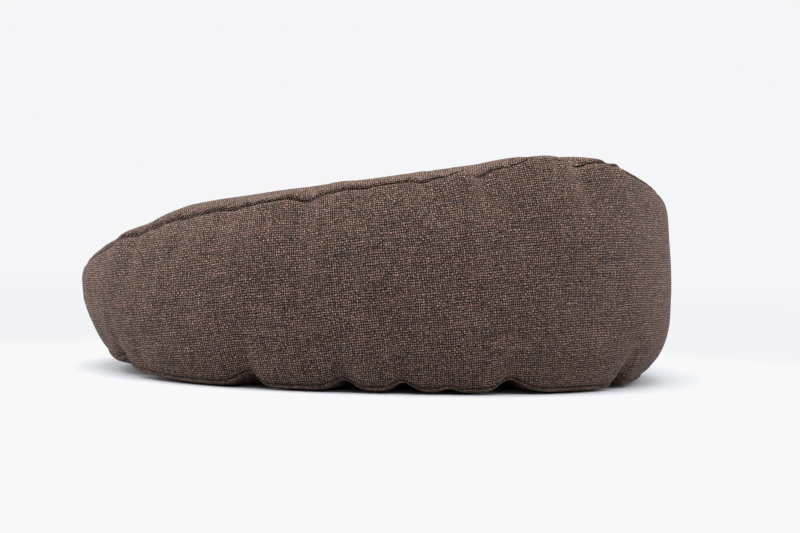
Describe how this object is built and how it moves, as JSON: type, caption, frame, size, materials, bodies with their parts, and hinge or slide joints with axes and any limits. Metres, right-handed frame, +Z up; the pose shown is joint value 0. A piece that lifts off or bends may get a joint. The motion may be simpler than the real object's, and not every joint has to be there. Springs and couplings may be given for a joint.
{
  "type": "sauna pillow",
  "caption": "Wedge-shaped oval boxed cushion, low at one end and tall at the other, crowned on top and flat where it rests.",
  "frame": {"origin": "middle of the underside's bounding rectangle, at the height of the flat spot that the pillow rests on", "axes": "+X from the thin end to the thick end, +Y across the pillow, +Z up out of the crowned top panel"},
  "size_m": [0.308, 0.236, 0.111],
  "materials": {
    "melange_cloth": "matt brown melange plain weave with a linen look, warm brown and charcoal yarns with slubs"
  },
  "bodies": {
    "root": {"pillow": "melange_cloth"}
  },
  "joints": []
}
